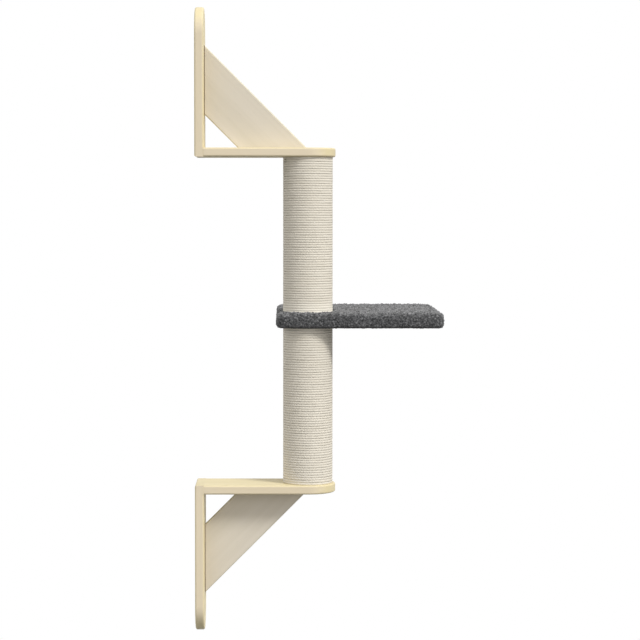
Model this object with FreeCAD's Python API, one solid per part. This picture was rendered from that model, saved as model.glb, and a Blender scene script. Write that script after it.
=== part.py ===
import FreeCAD, Part
import math
import os

# A cat tree that hangs on a wall. Two equal brackets face away from each other: the upper one's
# wall board goes up from its shelf, the lower one's goes down. Between the two shelves stand two
# rope-wound posts, and a plush-covered platform is clamped between them.
# X runs along the wall, the wall is the plane Y = 0, the room is on the -Y side and Z is up.
# The origin is the centre of the upper wall board's four screw holes. Sizes are in millimetres.

# Boards of both brackets
board_width = 98.0
board_thickness = 16.0
board_edge_radius = 3.2
corner_joint_ease = 0.8
wall_board_height = 265.0
shelf_reach = 249.0

# Diagonal brace, on edge on the centre line of each bracket
brace_thickness = 16.0
brace_outer_length = 182.0
brace_inner_length = 60.0
brace_edge_radius = 2.0
brace_end_ease = 1.2

# Four countersunk screw holes in each wall board
wall_hole_diameter = 5.5
wall_hole_countersink = 11.0
wall_hole_spacing_across = 58.0
wall_hole_spacing_up = 150.0
wall_hole_first_height = 40.0

# Posts: a cardboard tube wound with rope, closed by a wooden plug at each end
post_length = 276.0
tube_outer_diameter = 79.5
tube_wall = 5.0
rope_diameter = 4.3
plug_thickness = 18.0

# Platform: a board in a plush cover
platform_across = 340.0
platform_out = 297.0
post_inset = 57.0
platform_board_thickness = 16.0
plush_thickness = 6.0
plush_edge_radius = 8.0
platform_board_corner_radius = 8.0
hem_width = 22.0

# Clearances
fit_gap = 0.15
hole_floor_gap = 1.0
stud_hole_gap = 0.5

# Threaded stud through the platform, and the barrel nuts that it runs in
stud_diameter = 8.0
stud_overrun = 3.0
stud_end_chamfer = 1.0
nut_flange_diameter = 24.0
nut_flange_thickness = 1.5
nut_barrel_diameter = 10.2
nut_barrel_length = 11.0
nut_prong_count = 4
nut_prong_width = 3.0
nut_prong_thickness = 1.2
nut_prong_length = 6.0
nut_prong_rim_gap = 1.5

# Wood screws: through the back of the wall boards, and through the shelves into the posts
screw_diameter = 4.5
screw_head_diameter = 9.0
screw_tip_length = 5.0
screw_head_sink = 0.4
screw_recess_across = 5.0
screw_recess_width = 1.4
screw_recess_depth = 1.8
wall_screw_length = 50.0
post_screw_length = 30.0
corner_screw_spacing = 48.0
post_screw_spacing = 44.0
brace_fixing_inner_inset = 20.0
brace_fixing_outer_inset = 56.0

# Dowels
dowel_diameter = 8.0
dowel_length = 30.0
dowel_chamfer = 1.0
dowel_depth_in_face = 10.0
corner_dowel_spacing = 80.0

# Nails that hold each tube on its plugs, and staples that hold rope and cover
nail_diameter = 1.8
nail_length = 17.0
nail_head_diameter = 4.0
nail_head_thickness = 1.0
nail_head_sink = 0.5
nails_per_plug = 3
staple_wire = 1.0
staple_crown = 10.0
rope_staple_sink = 0.2
rope_staple_reach_in_tube = 3.0
cover_staple_depth_in_hem = 2.0
cover_staple_reach_in_board = 7.0
cover_staple_edge_inset = 13.0
cover_staples_along = 5
cover_staples_out = 4

# Derived places
half_width = board_width / 2
shelf_top = -(wall_hole_first_height + wall_hole_spacing_up / 2)
shelf_underside = shelf_top - board_thickness
board_tip = shelf_underside + wall_board_height
post_out = shelf_reach - half_width
tube_radius = tube_outer_diameter / 2
tube_bore_radius = tube_radius - tube_wall
post_radius = tube_radius + fit_gap + rope_diameter
post_foot = shelf_underside - post_length
platform_thickness = platform_board_thickness + 2 * plush_thickness
platform_top = post_foot
platform_underside = platform_top - platform_thickness
mid_height = platform_top - platform_thickness / 2
stud_radius = stud_diameter / 2
stud_hole_radius = stud_radius + stud_hole_gap
brace_fixings = (brace_inner_length + brace_fixing_inner_inset, brace_outer_length - brace_fixing_outer_inset)
nut_barrel_radius = nut_barrel_diameter / 2
nut_flange_radius = nut_flange_diameter / 2

X = FreeCAD.Vector(1, 0, 0)
Y = FreeCAD.Vector(0, 1, 0)
Z = FreeCAD.Vector(0, 0, 1)
post_axis_foot = FreeCAD.Vector(0, -post_out, post_foot)


def point(x, y, z):
    return FreeCAD.Vector(x, y, z)


def mirrored(shape):
    """The lower half's twin of an upper piece."""
    return shape.mirror(point(0, 0, mid_height), Z)


def rod(start, direction, length, radius, chamfer=0.0):
    """A round rod, with both ends chamfered where a chamfer is given."""
    body = Part.makeCylinder(radius, length, start, direction)
    if chamfer > 0:
        rims = [edge for edge in body.Edges if isinstance(edge.Curve, Part.Circle)]
        body = body.makeChamfer(chamfer, rims)
    return body


def countersunk(start, direction, length, radius, head_radius, grow=0.0, tip=0.0):
    """A shank with a 90 degree countersunk head whose flat is at start."""
    head_height = head_radius - radius
    head = Part.makeCone(head_radius + grow, radius + grow, head_height, start, direction)
    shank = Part.makeCylinder(radius + grow, length - tip, start, direction)
    body = head.fuse(shank)
    if tip > 0:
        tip_start = start + direction * (length - tip)
        body = body.fuse(Part.makeCone(radius + grow, radius / 4, tip, tip_start, direction))
    return body.removeSplitter()


def half_round_face(to_point, start, tip):
    """A board's outline, squared at start and half round at tip."""
    turn = tip - math.copysign(half_width, tip - start)
    corners = [
        to_point(-half_width, turn),
        to_point(-half_width, start),
        to_point(half_width, start),
        to_point(half_width, turn),
    ]
    edges = [Part.LineSegment(a, b).toShape() for a, b in zip(corners, corners[1:])]
    edges.append(Part.Arc(corners[3], to_point(0, tip), corners[0]).toShape())
    return Part.Face(Part.Wire(edges))


def lies_at(edge, direction, offset):
    """True where the whole edge lies in the plane at offset along direction."""
    return all(abs(vertex.Point.dot(direction) - offset) < 1e-6 for vertex in edge.Vertexes)


def round_over(solid, radius, chosen):
    """Rounds the edges of the solid for which chosen is true."""
    return solid.makeFillet(radius, [edge for edge in solid.Edges if chosen(edge)])


def corner_screw_starts():
    """Places on the wall board's back, level with the middle of the shelf."""
    height = shelf_underside + board_thickness / 2
    return [point(side * corner_screw_spacing / 2, 0, height) for side in (-1, 1)]


def brace_screw_starts():
    """Places on the wall board's back, over the brace's upright end."""
    return [point(0, 0, shelf_top + height) for height in brace_fixings]


def post_screw_starts():
    """Places on the shelf's outer face, on both sides of the brace's toe."""
    return [point(side * post_screw_spacing / 2, -post_out, shelf_top) for side in (-1, 1)]


def cross_recess(start, direction):
    """The driver's cross in the flat of a screw's head."""
    corner = point(-screw_recess_across / 2, -screw_recess_width / 2, 0)
    arm = Part.makeBox(screw_recess_across, screw_recess_width, screw_recess_depth, corner)
    other_arm = arm.copy()
    other_arm.rotate(point(0, 0, 0), Z, 90)
    cross = arm.fuse(other_arm).removeSplitter()
    cross.Placement = FreeCAD.Placement(start, FreeCAD.Rotation(Z, direction))
    return cross


def wood_screws(faces, direction, length, grow=0.0):
    """Screws whose heads are sunk a little under the given places on a board's face."""
    radius = screw_diameter / 2
    head_radius = screw_head_diameter / 2
    screws = []
    for face in faces:
        start = face + direction * screw_head_sink
        screw = countersunk(start, direction, length, radius, head_radius, grow, screw_tip_length)
        if grow > 0:
            screw = screw.fuse(Part.makeCylinder(head_radius + grow, screw_head_sink, face, direction))
        else:
            screw = screw.cut(cross_recess(start, direction))
        screws.append(screw)
    return screws


def back_screws(grow=0.0):
    """The screws that come through the wall board's back, as corner screws and brace screws."""
    corner = wood_screws(corner_screw_starts(), -Y, wall_screw_length, grow)
    into_brace = wood_screws(brace_screw_starts(), -Y, wall_screw_length, grow)
    return corner, into_brace


def post_screws(grow=0.0):
    """The screws through the shelf into the plug at the post's outer end."""
    return wood_screws(post_screw_starts(), -Z, post_screw_length, grow)


def corner_dowels(grow=0.0, floor_gap=0.0):
    """Dowels from the wall board's room face into the shelf's end."""
    start_out = -(board_thickness - dowel_depth_in_face) + floor_gap
    height = shelf_underside + board_thickness / 2
    return [
        rod(point(side * corner_dowel_spacing / 2, start_out, height), -Y,
            dowel_length + 2 * floor_gap, dowel_diameter / 2 + grow, dowel_chamfer)
        for side in (-1, 1)
    ]


def brace_dowels(grow=0.0, floor_gap=0.0):
    """Dowels from the shelf's face up into the foot of the brace."""
    start_height = shelf_top - dowel_depth_in_face - floor_gap
    return [
        rod(point(0, -board_thickness - out, start_height), Z,
            dowel_length + 2 * floor_gap, dowel_diameter / 2 + grow, dowel_chamfer)
        for out in brace_fixings
    ]


def wall_holes():
    """Countersunk holes for the four screws that hold a bracket on the wall."""
    radius = wall_hole_diameter / 2
    sink_radius = wall_hole_countersink / 2
    holes = []
    for side in (-1, 1):
        for level in (-1, 1):
            centre = point(side * wall_hole_spacing_across / 2, 0, level * wall_hole_spacing_up / 2)
            holes.append(countersunk(centre - Y * board_thickness, Y, board_thickness, radius, sink_radius))
    return holes


def corner_seat():
    """The wall board's room side where the shelf butts on: square, with hardly eased edges."""
    depth = 2 * board_edge_radius
    foot = point(-half_width, -board_thickness, shelf_underside)
    seat = Part.makeBox(board_width, depth, board_thickness, foot)

    def is_upright_at_the_joint(edge):
        on_an_end = lies_at(edge, Z, shelf_underside) or lies_at(edge, Z, shelf_top)
        return lies_at(edge, Y, -board_thickness) and not on_an_end

    return round_over(seat, corner_joint_ease, is_upright_at_the_joint)


def wall_board():
    """The board on the wall; its squared end is flush with the shelf's outer face."""
    face = half_round_face(lambda x, z: point(x, 0, z), shelf_underside, board_tip)
    board = face.extrude(-Y * board_thickness)

    def is_eased(edge):
        at_back = lies_at(edge, Y, 0)
        at_front = lies_at(edge, Y, -board_thickness) and not lies_at(edge, Z, shelf_underside)
        return at_back or at_front

    board = round_over(board, board_edge_radius, is_eased).fuse(corner_seat()).removeSplitter()
    corner_screws, brace_screws = back_screws(fit_gap)
    return board.cut(wall_holes() + corner_dowels(fit_gap, hole_floor_gap) + corner_screws + brace_screws)


def shelf_board():
    """The shelf, butted to the wall board's room face."""
    face = half_round_face(lambda x, y: point(x, y, shelf_underside), -board_thickness, -shelf_reach)
    board = face.extrude(Z * board_thickness)

    def is_eased(edge):
        on_a_face = lies_at(edge, Z, shelf_underside) or lies_at(edge, Z, shelf_top)
        return on_a_face and not lies_at(edge, Y, -board_thickness)

    board = round_over(board, board_edge_radius, is_eased)
    dowels = corner_dowels(fit_gap, hole_floor_gap) + brace_dowels(fit_gap, hole_floor_gap)
    return board.cut(dowels + back_screws(fit_gap)[0] + post_screws(fit_gap))


def brace_end_wedges():
    """What is cut off the brace's edges where its sides meet the two boards."""
    corner = point(0, -board_thickness, shelf_top)
    wedges = []
    for side in (-1, 1):
        edge = corner + X * side * brace_thickness / 2
        for inward, along in ((-Y, Z), (Z, -Y)):
            outline = [edge, edge - X * side * brace_end_ease, edge + inward * brace_end_ease]
            face = Part.Face(Part.makePolygon(outline + outline[:1]))
            wedges.append(face.extrude(along * brace_outer_length))
    return wedges


def brace():
    """The 45 degree board that leaves a small open triangle in the corner."""
    corners = [
        (0, brace_inner_length),
        (0, brace_outer_length),
        (brace_outer_length, 0),
        (brace_inner_length, 0),
    ]
    side = -brace_thickness / 2
    outline = [point(side, -board_thickness - out, shelf_top + up) for out, up in corners]
    face = Part.Face(Part.makePolygon(outline + outline[:1]))
    board = face.extrude(X * brace_thickness)

    def is_long_diagonal(edge):
        start, end = (vertex.Point for vertex in edge.Vertexes)
        run = end - start
        return abs(run.y) > 1 and abs(run.z) > 1

    board = round_over(board, brace_edge_radius, is_long_diagonal).cut(brace_end_wedges())
    return board.cut(back_screws(fit_gap)[1] + brace_dowels(fit_gap, hole_floor_gap))


def post_tube():
    """The cardboard tube, with holes for its nails and for the staples of the rope."""
    outside = Part.makeCylinder(tube_radius, post_length, post_axis_foot, Z)
    bore = Part.makeCylinder(tube_bore_radius, post_length, post_axis_foot, Z)
    return outside.cut([bore] + tube_nails(fit_gap) + rope_staples(fit_gap))


def post_rope():
    """The rope's winding, as the sleeve that its close turns fill."""
    outside = Part.makeCylinder(post_radius, post_length, post_axis_foot, Z)
    bore = Part.makeCylinder(tube_radius + fit_gap, post_length, post_axis_foot, Z)
    return outside.cut([bore] + rope_staples(fit_gap))


def outer_plug_foot():
    """Foot of the plug at the shelf."""
    return post_axis_foot + Z * (post_length - plug_thickness)


def plug_disc(foot):
    """A plain round plug that fills the tube."""
    return Part.makeCylinder(tube_bore_radius - fit_gap, plug_thickness, foot, Z)


def outer_plug():
    """The plug that the shelf is screwed on."""
    return plug_disc(outer_plug_foot()).cut(post_screws(fit_gap) + tube_nails(fit_gap))


def inner_plug():
    """The plug at the platform, drilled for the stud and its nut."""
    bore = Part.makeCylinder(stud_hole_radius, plug_thickness, post_axis_foot, Z)
    return plug_disc(post_axis_foot).cut([bore, nut_body(fit_gap)] + tube_nails(fit_gap))


def nut_body(grow=0.0):
    """A barrel nut's flange, barrel and prongs, on the face of the plug that looks into the tube."""
    seat = post_axis_foot + Z * plug_thickness
    flange = Part.makeCylinder(nut_flange_radius, nut_flange_thickness, seat, Z)
    barrel = Part.makeCylinder(nut_barrel_radius + grow, nut_barrel_length + grow, seat, -Z)
    body = flange.fuse(barrel)
    thickness = nut_prong_thickness + 2 * grow
    width = nut_prong_width + 2 * grow
    length = nut_prong_length + grow
    inner_face = nut_flange_radius - nut_prong_rim_gap - nut_prong_thickness - grow
    for step in range(nut_prong_count):
        prong = Part.makeBox(thickness, width, length, point(inner_face, -width / 2, -length))
        prong.rotate(point(0, 0, 0), Z, step * 360 / nut_prong_count)
        prong.translate(seat)
        body = body.fuse(prong)
    return body


def barrel_nut():
    """The nut, bored for the stud."""
    bore_length = plug_thickness + nut_flange_thickness
    return nut_body().cut(Part.makeCylinder(stud_radius + fit_gap, bore_length, post_axis_foot, Z))


def tube_nails(grow=0.0):
    """Nails through the tube's wall into the middle of each plug, their heads under the rope."""
    nails = []
    for foot in (post_axis_foot, outer_plug_foot()):
        middle = foot + Z * (plug_thickness / 2)
        for step in range(nails_per_plug):
            angle = math.radians(90 + step * 360 / nails_per_plug)
            outward = point(math.cos(angle), math.sin(angle), 0)
            start = middle + outward * (tube_radius - nail_head_sink)
            nails.append(nail(start, -outward, grow))
    return nails


def nail(start, direction, grow):
    """A nail whose head's flat is at start."""
    outer_end = start - direction * grow
    head = Part.makeCylinder(nail_head_diameter / 2 + grow, nail_head_thickness + grow, outer_end, direction)
    shank = Part.makeCylinder(nail_diameter / 2 + grow, nail_length + 2 * grow, outer_end, direction)
    return head.fuse(shank)


def staple(crown_length, leg_length, grow):
    """A staple whose crown lies along X with its outside at Z = 0, and whose legs go down."""
    wire = staple_wire + 2 * grow
    span = crown_length + 2 * grow
    corner = point(-span / 2, -wire / 2, -staple_wire - grow)
    crown = Part.makeBox(span, wire, wire, corner)
    body = crown
    for leg_start in (-span / 2, span / 2 - wire):
        leg = Part.makeBox(wire, wire, leg_length + 2 * grow, point(leg_start, -wire / 2, -leg_length - grow))
        body = body.fuse(leg)
    return body.removeSplitter()


def rope_staples(grow=0.0):
    """One staple across the rope's last turn at each end of the post, on the side of the wall."""
    outside = post_radius - rope_staple_sink
    leg = outside - tube_radius + rope_staple_reach_in_tube
    staples = []
    for height in (post_foot + staple_crown, post_foot + post_length - staple_crown):
        piece = staple(staple_crown, leg, grow)
        piece.rotate(point(0, 0, 0), Y, 90)
        piece.rotate(point(0, 0, 0), Z, 90)
        piece.translate(point(0, -post_out + outside, height))
        staples.append(piece)
    return staples


def platform_plate(inset, foot, top, corner_radius):
    """A rectangular plate with round corners, inset from the platform's outline."""
    low_x = -post_inset + inset
    high_x = -post_inset + platform_across - inset
    high_y = -post_out + post_inset - inset
    low_y = -post_out + post_inset - platform_out + inset
    plate = Part.makeBox(high_x - low_x, high_y - low_y, top - foot, point(low_x, low_y, foot))

    def is_upright(edge):
        return not lies_at(edge, Z, foot) and not lies_at(edge, Z, top)

    return round_over(plate, corner_radius, is_upright)


def stud_hole():
    """The hole through the whole platform."""
    return Part.makeCylinder(stud_hole_radius, platform_thickness, point(0, -post_out, platform_underside), Z)


def platform_board():
    """The board inside the plush."""
    foot = platform_underside + plush_thickness
    top = foot + platform_board_thickness
    board = platform_plate(plush_thickness, foot, top, platform_board_corner_radius)
    return board.cut([stud_hole()] + cover_staples(fit_gap))


def bottom_panel_space(grow=0.0):
    """The space inside the hem."""
    foot = platform_underside
    corner_radius = platform_board_corner_radius
    return platform_plate(hem_width - grow, foot, foot + plush_thickness, corner_radius)


def plush_top_cover():
    """The plush sheet over the top and sides, with its hem turned under the board."""
    corner_radius = platform_board_corner_radius + plush_thickness
    outside = platform_plate(0, platform_underside, platform_top, corner_radius)
    outside = round_over(
        outside, plush_edge_radius,
        lambda edge: lies_at(edge, Z, platform_underside) or lies_at(edge, Z, platform_top))
    board_foot = platform_underside + plush_thickness
    board_top = board_foot + platform_board_thickness
    board_space = platform_plate(plush_thickness, board_foot, board_top, platform_board_corner_radius)
    return outside.cut([board_space, bottom_panel_space(), stud_hole()] + cover_staples(fit_gap))


def plush_bottom_panel():
    """The plush sheet that closes the underside inside the hem."""
    return bottom_panel_space(-fit_gap).cut(stud_hole())


def evenly(low, high, count):
    """Count places between low and high, half a step in from both."""
    step = (high - low) / count
    return [low + step * (index + 0.5) for index in range(count)]


def cover_staples(grow=0.0):
    """Staples that hold the hem on the underside of the platform's board."""
    board_foot = platform_underside + plush_thickness
    leg = cover_staple_depth_in_hem + cover_staple_reach_in_board
    height = board_foot - cover_staple_depth_in_hem
    low_x = -post_inset + cover_staple_edge_inset
    high_x = -post_inset + platform_across - cover_staple_edge_inset
    high_y = -post_out + post_inset - cover_staple_edge_inset
    low_y = -post_out + post_inset - platform_out + cover_staple_edge_inset
    places = [(x, y, 0) for x in evenly(low_x, high_x, cover_staples_along) for y in (low_y, high_y)]
    places += [(x, y, 90) for y in evenly(low_y, high_y, cover_staples_out) for x in (low_x, high_x)]
    staples = []
    for x, y, turn in places:
        piece = staple(staple_crown, leg, grow).mirror(point(0, 0, 0), Z)
        piece.rotate(point(0, 0, 0), Z, turn)
        piece.translate(point(x, y, height))
        staples.append(piece)
    return staples


def centre_stud():
    """The threaded stud that joins both posts through the platform."""
    reach = platform_thickness / 2 + plug_thickness + nut_flange_thickness + stud_overrun
    return rod(point(0, -post_out, mid_height - reach), Z, 2 * reach, stud_radius, stud_end_chamfer)


def save(name, shapes):
    """Writes one named piece, or a group of equal pieces, to its own file."""
    group = shapes if isinstance(shapes, list) else [shapes]
    shape = group[0] if len(group) == 1 else Part.makeCompound(group)
    if len(shape.Solids) == 1:
        shape = shape.Solids[0]
    assert shape.isValid(), name
    shape.exportStep("parts/" + name + ".step")
    print(name, len(shape.Solids), "solids", round(shape.Volume), "mm3")


def save_pair(name, shapes):
    """Writes an upper piece and its mirrored lower twin."""
    group = shapes if isinstance(shapes, list) else [shapes]
    save("upper_" + name, group)
    save("lower_" + name, [mirrored(shape) for shape in group])


os.makedirs("parts", exist_ok=True)
save_pair("wall_board", wall_board())
save_pair("shelf_board", shelf_board())
save_pair("brace", brace())
save_pair("corner_screws", back_screws()[0])
save_pair("brace_screws", back_screws()[1])
save_pair("corner_dowels", corner_dowels())
save_pair("brace_dowels", brace_dowels())
save_pair("post_screws", post_screws())
save_pair("post_tube", post_tube())
save_pair("post_rope", post_rope())
save_pair("post_outer_plug", outer_plug())
save_pair("post_inner_plug", inner_plug())
save_pair("barrel_nut", barrel_nut())
save_pair("tube_nails", tube_nails())
save_pair("rope_staples", rope_staples())
save("platform_board", platform_board())
save("plush_top_cover", plush_top_cover())
save("plush_bottom_panel", plush_bottom_panel())
save("cover_staples", cover_staples())
save("centre_stud", centre_stud())
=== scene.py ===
# %% [markdown]
# # A wall mounted cat tree
# Two braced shelf brackets hang on a wall. Between them stand two posts wound with sisal rope, and
# a plush platform is clamped between the posts. The boards and the fasteners come from the packed
# model, because their shape is already right, and they only get a finish here. The rope and the
# plush are made in this file, because their look is in the small forms of every turn and tuft.

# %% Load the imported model
import math

import bpy
import numpy as np
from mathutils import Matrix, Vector, noise


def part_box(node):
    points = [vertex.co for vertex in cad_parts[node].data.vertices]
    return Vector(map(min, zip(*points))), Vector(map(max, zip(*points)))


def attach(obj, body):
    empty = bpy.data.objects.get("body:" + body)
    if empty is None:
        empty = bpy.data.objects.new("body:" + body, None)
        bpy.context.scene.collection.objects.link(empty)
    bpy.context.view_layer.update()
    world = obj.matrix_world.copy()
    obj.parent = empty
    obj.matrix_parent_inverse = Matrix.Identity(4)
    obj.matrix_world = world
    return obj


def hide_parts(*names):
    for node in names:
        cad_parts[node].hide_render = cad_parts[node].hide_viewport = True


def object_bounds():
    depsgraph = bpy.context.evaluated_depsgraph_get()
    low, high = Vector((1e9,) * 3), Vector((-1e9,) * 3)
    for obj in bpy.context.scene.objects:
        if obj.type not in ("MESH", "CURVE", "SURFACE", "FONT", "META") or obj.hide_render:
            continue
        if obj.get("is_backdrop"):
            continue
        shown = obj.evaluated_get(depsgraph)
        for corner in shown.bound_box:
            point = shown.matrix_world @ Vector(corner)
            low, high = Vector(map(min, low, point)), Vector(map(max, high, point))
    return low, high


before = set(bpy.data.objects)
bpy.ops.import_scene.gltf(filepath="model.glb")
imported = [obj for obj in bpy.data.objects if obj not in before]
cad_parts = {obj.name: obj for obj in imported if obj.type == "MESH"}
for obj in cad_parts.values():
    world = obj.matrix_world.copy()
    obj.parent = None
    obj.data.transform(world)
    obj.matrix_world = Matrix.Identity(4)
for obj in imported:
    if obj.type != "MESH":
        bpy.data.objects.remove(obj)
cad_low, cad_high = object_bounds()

MM = 0.001
print("nodes:", len(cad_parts), "box:", [round(v, 3) for v in (*cad_low, *cad_high)])

# %% [markdown]
# ## The camera
# The photograph looks along the wall, from the side that the platform's short end points to. The
# far edges of the boards shrink only a little, so the camera is far away and has a long lens. It
# tips down by very little, so upright edges stay nearly parallel. The object isn't in the middle of
# the picture, and a small lens shift puts it there without turning the camera. A camera that isn't
# turned looks straight down: a quarter turn about X makes it look level, and one about Z along X.

# %% Camera at the photograph's place
PICTURE_SIDE = 640
FOCAL_LENGTH_PX = 2005.0
AXIS_COLUMN_PX = 284.3
AXIS_ROW_PX = 292.65
SENSOR_WIDTH_MM = 36.0
CAMERA_DISTANCE = 3.570
CAMERA_OUT = -0.158
CAMERA_HEIGHT = -0.216
LEVEL_DEGREES = 90
TIP_DEGREES = 2.5
ALONG_X_DEGREES = -90


def place_camera():
    data = bpy.data.cameras.new("photo_camera")
    data.sensor_width = SENSOR_WIDTH_MM
    data.lens = FOCAL_LENGTH_PX * SENSOR_WIDTH_MM / PICTURE_SIDE
    data.shift_x = (PICTURE_SIDE / 2 - AXIS_COLUMN_PX) / PICTURE_SIDE
    data.shift_y = (AXIS_ROW_PX - PICTURE_SIDE / 2) / PICTURE_SIDE
    camera = bpy.data.objects.new("photo_camera", data)
    camera.location = (-CAMERA_DISTANCE, CAMERA_OUT, CAMERA_HEIGHT)
    tip, turn = math.radians(LEVEL_DEGREES - TIP_DEGREES), math.radians(ALONG_X_DEGREES)
    camera.rotation_euler = (tip, 0, turn)
    bpy.context.scene.collection.objects.link(camera)
    bpy.context.scene.camera = camera
    return data


lens = place_camera()
print("lens (mm):", round(lens.lens, 1), "shift:", round(lens.shift_x, 3), round(lens.shift_y, 3))

# %% [markdown]
# ## Nodes
# Light and finishes are nets of nodes. Each node has to be made, given its numbers and linked to
# the next, which takes several lines every time. These helpers take one line each and hand back the
# node's output, so that the recipes further down can be read from top to bottom.

# %% Helpers that make nodes


def linked(tree, value, socket):
    """Puts a number, colour or another node's output on a socket."""
    if isinstance(value, bpy.types.NodeSocket):
        tree.links.new(value, socket)
    else:
        socket.default_value = value


def calculate(tree, operation, first, second=0.0):
    """The result of one step of arithmetic."""
    node = tree.nodes.new("ShaderNodeMath")
    node.operation = operation
    linked(tree, first, node.inputs[0])
    linked(tree, second, node.inputs[1])
    return node.outputs[0]


def remap(tree, value, low, high, to_low, to_high):
    """Runs from to_low to to_high while the value runs from low to high, and stays there beyond."""
    node = tree.nodes.new("ShaderNodeMapRange")
    limits = {"From Min": low, "From Max": high, "To Min": to_low, "To Max": to_high}
    for name, number in limits.items():
        node.inputs[name].default_value = number
    tree.links.new(value, node.inputs["Value"])
    return node.outputs["Result"]


def coordinates(tree, kind):
    return tree.nodes.new("ShaderNodeTexCoord").outputs[kind]


def parts_of(tree, vector):
    """The X, Y and Z of a vector, as outputs that are picked by name."""
    node = tree.nodes.new("ShaderNodeSeparateXYZ")
    tree.links.new(vector, node.inputs["Vector"])
    return node.outputs


def mixed_shaders(tree, amount, first, second):
    """The first shader where the amount is 0, and the second where it is 1."""
    node = tree.nodes.new("ShaderNodeMixShader")
    tree.links.new(amount, node.inputs["Fac"])
    tree.links.new(first, node.inputs[1])
    tree.links.new(second, node.inputs[2])
    return node.outputs[0]


print("helpers for arithmetic, ranges, places and mixing are ready")

# %% [markdown]
# ## The white room
# A world of dim white gives the light that comes from everywhere, with little from below, so that
# undersides stay fairly dark. The camera sees the world as white, but it lights the object with
# less, so that the background needs no extra light. A Light Path node tells the two apart.

# %% World
WHITE = (1.0, 1.0, 1.0, 1.0)
SEEN_STRENGTH = 1.0
FILL_FROM_BELOW = 0.14
FILL_FROM_AROUND = 0.735
FILL_FADES_BETWEEN = (-0.4, 0.05)


def seen_directly(tree):
    """1 for rays of the camera, of mirrors and of glass, and 0 for rays that only light things."""
    path = tree.nodes.new("ShaderNodeLightPath")
    seen = path.outputs["Is Camera Ray"]
    for name in ("Is Glossy Ray", "Is Transmission Ray"):
        seen = calculate(tree, "MAXIMUM", seen, path.outputs[name])
    return seen


def white_background(tree, strength):
    node = tree.nodes.new("ShaderNodeBackground")
    node.inputs["Color"].default_value = WHITE
    linked(tree, strength, node.inputs["Strength"])
    return node.outputs[0]


def white_seen_world():
    """A world that the camera sees white, and that lights the object with less."""
    world = bpy.data.worlds.new("white_room")
    world.use_nodes = True
    tree = world.node_tree
    tree.nodes.clear()
    upwards = parts_of(tree, coordinates(tree, "Generated"))["Z"]
    dimmed = remap(tree, upwards, *FILL_FADES_BETWEEN, FILL_FROM_BELOW, FILL_FROM_AROUND)
    fill, seen = white_background(tree, dimmed), white_background(tree, SEEN_STRENGTH)
    output = tree.nodes.new("ShaderNodeOutputWorld")
    tree.links.new(mixed_shaders(tree, seen_directly(tree), fill, seen), output.inputs["Surface"])
    bpy.context.scene.world = world


white_seen_world()
print("fill light from around and below:", FILL_FROM_AROUND, FILL_FROM_BELOW)

# %% [markdown]
# ## The lamps
# One large soft light comes from above and in front, from the side of the room: the posts are bright
# on the room side, and the shelf shades the brace under it with a soft edge. An area lamp could do
# that, but it would light the nearer bracket more, and both are lit alike. So the light is a sun,
# which doesn't fade with distance, and its disc is made wide, which softens the shadows as a large
# studio lamp would. A second, much weaker one stands low on the side of the wall, and brightens the
# posts' far edges and the shade under the shelf.

# %% Lamps
KEY_DIRECTION = Vector((-1.10, -1.28, 1.58))
KEY_WIDTH_DEGREES = 15.0
KEY_STRENGTH = 2.28
SIDE_DIRECTION = Vector((-1.0, 0.5, 0.1))
SIDE_WIDTH_DEGREES = 40.0
SIDE_STRENGTH = 0.25
LAMP_DISTANCE = 3


def soft_sun(name, direction, width_degrees, strength):
    """A wide sun that shines from the given direction."""
    data = bpy.data.lights.new(name, "SUN")
    data.angle = math.radians(width_degrees)
    data.energy = strength
    sun = bpy.data.objects.new(name, data)
    sun.location = direction.normalized() * LAMP_DISTANCE
    sun.rotation_mode = "QUATERNION"
    sun.rotation_quaternion = direction.to_track_quat("Z", "Y")
    bpy.context.scene.collection.objects.link(sun)


soft_sun("key_light", KEY_DIRECTION, KEY_WIDTH_DEGREES, KEY_STRENGTH)
soft_sun("side_light", SIDE_DIRECTION, SIDE_WIDTH_DEGREES, SIDE_STRENGTH)
print("the key light comes from", [round(v, 2) for v in KEY_DIRECTION.normalized()])

# %% [markdown]
# ## Patterns and colours
# Each finish is a small net of nodes around one Principled shader. All patterns are made from
# places in the object's own frame, in metres, so that they have a real scale and don't slide when
# the camera moves: a stretch of 100 gives a pattern whose widest forms are about 10 mm. A number
# that is the same all over a surface is set on the shader itself.

# %% Helpers for the finishes
MIX_COLOURS_IN = (6, 7)
MIX_COLOUR_OUT = 2


def new_finish(name, **fixed):
    """A material and its Principled shader, with fixed values given as Sheen_Weight=0.2."""
    material = bpy.data.materials.new(name)
    material.use_nodes = True
    shader = material.node_tree.nodes["Principled BSDF"]
    for socket, number in fixed.items():
        shader.inputs[socket.replace("_", " ")].default_value = number
    return material, material.node_tree, shader


def object_place(tree, rotation=(0, 0, 0), scale=(1, 1, 1)):
    """Places in the object's frame, turned first and stretched afterwards."""
    place = coordinates(tree, "Object")
    for name, value in (("Rotation", rotation), ("Scale", scale)):
        node = tree.nodes.new("ShaderNodeMapping")
        node.inputs[name].default_value = value
        tree.links.new(place, node.inputs["Vector"])
        place = node.outputs["Vector"]
    return place


def noise_value(tree, place, scale=1.0, detail=3.0, roughness=0.5):
    """Noise around 0.5. Detail adds finer layers, and roughness says how strong they are."""
    node = tree.nodes.new("ShaderNodeTexNoise")
    tree.links.new(place, node.inputs["Vector"])
    node.inputs["Scale"].default_value = scale
    node.inputs["Detail"].default_value = detail
    node.inputs["Roughness"].default_value = roughness
    return node.outputs["Fac"]


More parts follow.
